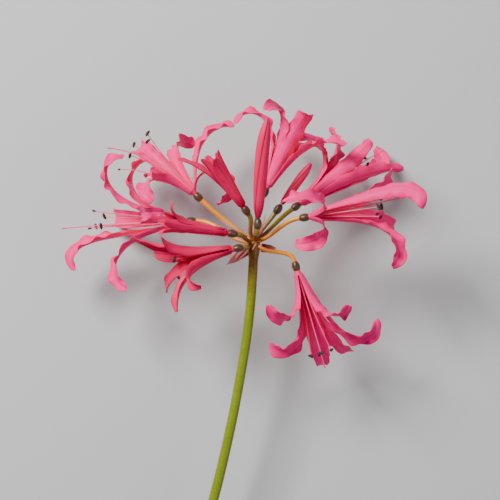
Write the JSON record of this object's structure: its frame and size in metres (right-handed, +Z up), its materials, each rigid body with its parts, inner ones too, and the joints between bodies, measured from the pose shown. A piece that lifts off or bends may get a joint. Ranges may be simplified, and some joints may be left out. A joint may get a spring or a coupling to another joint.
{
  "type": "nerine stem",
  "caption": "Cut flower lying on its back: a bowed leafless stalk with a loose round head of open, opening and closed trumpet flowers whose narrow petals curl back.",
  "frame": {"origin": "middle of the bounding box in plan, on the floor the flower lies on", "axes": "+Z up from the floor, +Y along the flower from the cut end of its stalk towards the flower head, +X to the right seen from above"},
  "size_m": [0.1646, 0.3126, 0.0755],
  "materials": {
    "pink_petal": "thin satin petal, hot pink with paler streaks",
    "crimson_petal": "thin satin petal, deeper crimson pink",
    "filament": "fleshy salmon-pink thread with a dark purple-brown pod at the tip",
    "ovary": "smooth dark olive-brown skin",
    "golden_stalk": "smooth golden yellow-orange stalk",
    "olive_stalk": "smooth olive green to brown stalk",
    "scape": "smooth fleshy yellow-green stem, olive-brown at the top",
    "dry_bract": "withered papery pinkish-brown bract"
  },
  "bodies": {
    "root": {"scape": "scape", "spathe_valve_1": "dry_bract", "spathe_valve_2": "dry_bract", "bract_thread_1": "dry_bract", "bract_thread_2": "dry_bract", "bract_thread_3": "dry_bract", "flower_a_pedicel": "golden_stalk", "flower_a_ovary": "ovary", "flower_a_perianth": "pink_petal", "flower_a_stamens": "filament", "flower_a_style": "filament", "flower_b_pedicel": "golden_stalk", "flower_b_ovary": "ovary", "flower_b_perianth": "pink_petal", "flower_b_stamens": "filament", "flower_b_style": "filament", "flower_c_pedicel": "olive_stalk", "flower_c_ovary": "ovary", "flower_c_perianth": "crimson_petal", "flower_c_stamens": "filament", "flower_d_pedicel": "olive_stalk", "flower_d_ovary": "ovary", "flower_d_perianth": "crimson_petal", "flower_d_stamens": "filament", "flower_e_pedicel": "olive_stalk", "flower_e_ovary": "ovary", "flower_e_perianth": "crimson_petal", "flower_e_stamens": "filament", "bud_f_pedicel": "olive_stalk", "bud_f_ovary": "ovary", "bud_f_tepals": "crimson_petal", "flower_g_pedicel": "olive_stalk", "flower_g_ovary": "ovary", "flower_g_perianth": "pink_petal", "flower_g_stamens": "filament", "flower_g_style": "filament", "bud_h_pedicel": "olive_stalk", "bud_h_ovary": "ovary", "bud_h_tepals": "crimson_petal", "flower_i_pedicel": "olive_stalk", "flower_i_ovary": "ovary", "flower_i_perianth": "pink_petal", "flower_i_stamens": "filament", "flower_i_style": "filament", "flower_j_pedicel": "golden_stalk", "flower_j_ovary": "ovary", "flower_j_perianth": "pink_petal", "flower_j_stamens": "filament", "flower_j_style": "filament", "flower_k_pedicel": "golden_stalk", "flower_k_ovary": "ovary", "flower_k_perianth": "pink_petal", "flower_k_stamens": "filament", "flower_k_style": "filament"}
  },
  "joints": []
}
